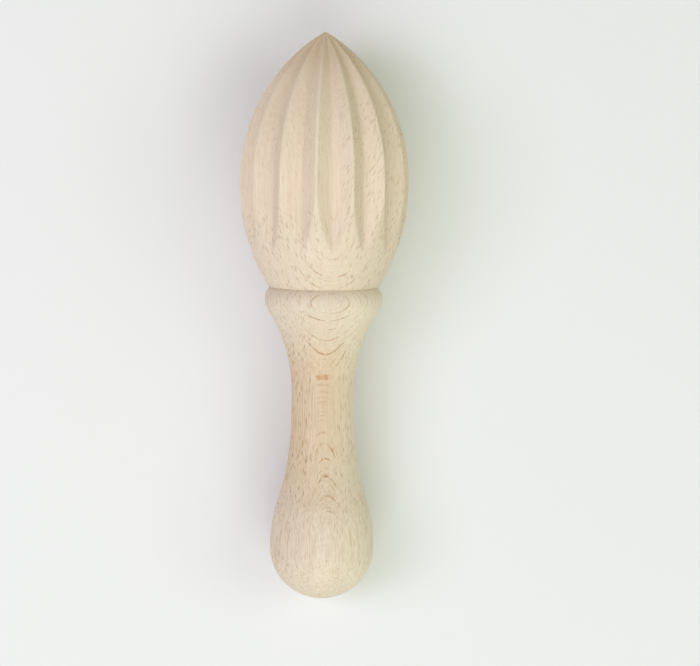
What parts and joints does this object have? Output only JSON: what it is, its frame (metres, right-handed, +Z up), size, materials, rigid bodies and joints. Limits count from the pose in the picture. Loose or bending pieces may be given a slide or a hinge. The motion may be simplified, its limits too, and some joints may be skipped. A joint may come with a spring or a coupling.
{
  "type": "lemon reamer",
  "caption": "Turned wooden hand reamer: a pointed, fluted head doweled to a waisted handle with a collar and a ball end, twisted into a halved lemon to press out its juice.",
  "frame": {"origin": "on the surface that the reamer lies on, straight below the middle of its box", "axes": "+Y along the reamer from the ball end to the tip, with the turning axis rising about 5 degrees towards the tip; +Z up from the surface; +X to the right, seen from the ball end"},
  "size_m": [0.049, 0.164, 0.0484],
  "materials": {
    "head_beech": "bare turned beech, sanded, with cut flutes",
    "dowel_beech": "bare grooved beech dowel",
    "handle_beech": "bare turned beech, sanded smooth"
  },
  "bodies": {
    "root": {"reamer_head": "head_beech", "joint_dowel": "dowel_beech", "handle": "handle_beech"}
  },
  "joints": []
}
